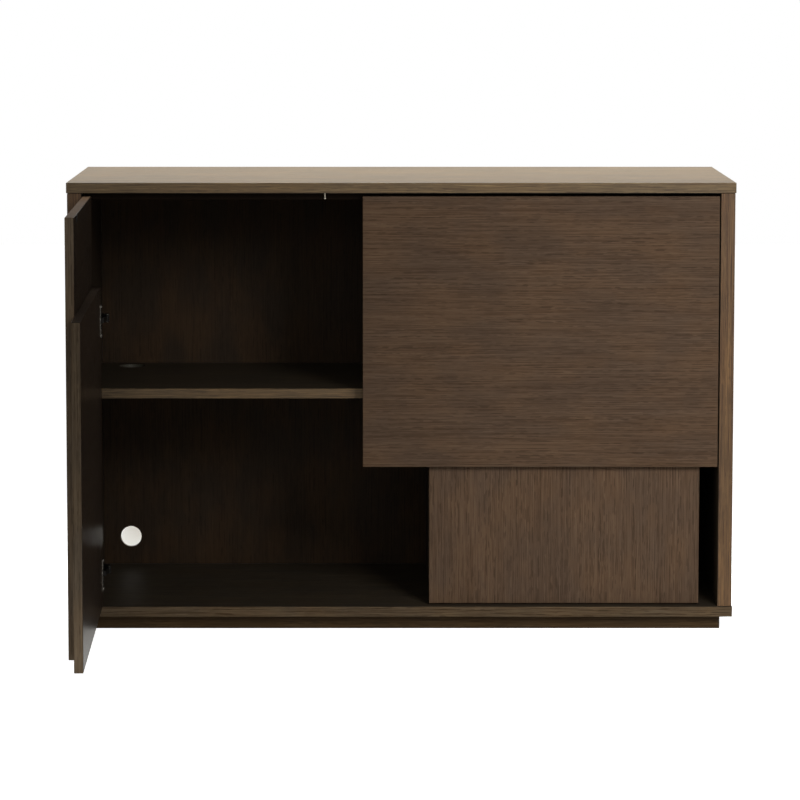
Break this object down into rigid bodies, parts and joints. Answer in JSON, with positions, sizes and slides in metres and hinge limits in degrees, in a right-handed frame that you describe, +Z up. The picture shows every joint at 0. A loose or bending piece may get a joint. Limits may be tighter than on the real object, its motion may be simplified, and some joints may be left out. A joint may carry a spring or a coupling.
{
  "type": "sideboard",
  "caption": "Low sideboard with doors laminated from offset leaves on concealed hinges, loose shelves, a back with a cable outlet, and a recessed plinth.",
  "frame": {"origin": "on the floor, under the middle of the cabinet", "axes": "+Z up, +X along the width towards the right as one faces the doors, -Y out of the front"},
  "size_m": [1.2, 1.0553, 0.813],
  "materials": {
    "dark_veneer": "dark stained wood veneer, satin lacquer",
    "shelf_veneer": "dark stained wood veneer, satin",
    "back_veneer": "dark stained wood veneer, matt",
    "nickel_steel": "nickel-plated steel",
    "dark_steel": "dark nickel-plated steel"
  },
  "bodies": {
    "carcass": {"top_panel": "dark_veneer", "bottom_panel": "dark_veneer", "left_side_panel": "dark_veneer", "right_side_panel": "dark_veneer", "centre_divider": "dark_veneer", "back_panel": "back_veneer", "stop_rail": "dark_veneer", "plinth_front": "dark_veneer", "plinth_back": "dark_veneer", "plinth_left": "dark_veneer", "plinth_centre": "dark_veneer", "plinth_right": "dark_veneer", "left_shelf": "shelf_veneer", "right_shelf": "shelf_veneer", "left_shelf_peg_left_front": "nickel_steel", "left_shelf_peg_left_back": "nickel_steel", "left_shelf_peg_right_front": "nickel_steel", "left_shelf_peg_right_back": "nickel_steel", "right_shelf_peg_left_front": "nickel_steel", "right_shelf_peg_left_back": "nickel_steel", "right_shelf_peg_right_front": "nickel_steel", "right_shelf_peg_right_back": "nickel_steel", "left_catch": "nickel_steel", "left_hinge_low_arm": "dark_steel", "left_hinge_low_plate": "dark_steel", "left_hinge_high_arm": "dark_steel", "left_hinge_high_plate": "dark_steel", "right_hinge_low_arm": "dark_steel", "right_hinge_low_plate": "dark_steel", "right_hinge_high_arm": "dark_steel", "right_hinge_high_plate": "dark_steel"},
    "left_door": {"left_door_front_leaf": "dark_veneer", "left_door_back_leaf": "dark_veneer", "left_hinge_low_cup": "dark_steel", "left_hinge_high_cup": "dark_steel", "left_strike": "dark_steel"},
    "left_hinge_links": {"left_hinge_low_link": "dark_steel", "left_hinge_high_link": "dark_steel"},
    "right_door": {"right_door_front_leaf": "dark_veneer", "right_door_back_leaf": "dark_veneer", "right_hinge_low_cup": "dark_steel", "right_hinge_high_cup": "dark_steel"},
    "right_hinge_links": {"right_hinge_low_link": "dark_steel", "right_hinge_high_link": "dark_steel"}
  },
  "joints": [
    {"name": "left_door_hinge", "type": "hinge", "parent": "carcass", "child": "left_door", "pos_m": [-0.5669, -0.2244, 0.417], "axis": [0, 0, -1], "range_deg": [-88.5, 0.5]},
    {"name": "right_door_hinge", "type": "hinge", "parent": "carcass", "child": "right_door", "pos_m": [0.5669, -0.2244, 0.417], "axis": [0, 0, 1], "range_deg": [0, 89]},
    {"name": "left_link_pivot", "type": "hinge", "parent": "left_door", "child": "left_hinge_links", "pos_m": [-0.54211, -0.22765, 0.335], "axis": [0, 0, 1], "range_deg": [-148, 1]},
    {"name": "right_link_pivot", "type": "hinge", "parent": "right_door", "child": "right_hinge_links", "pos_m": [0.563, -0.2155, 0.5325], "axis": [0, 0, -1], "range_deg": [0, 124]}
  ],
  "couplings": [
    {"joint": "left_link_pivot", "follows": "left_door_hinge", "ratio": 1.6644},
    {"joint": "right_link_pivot", "follows": "right_door_hinge", "ratio": 1.3835}
  ]
}
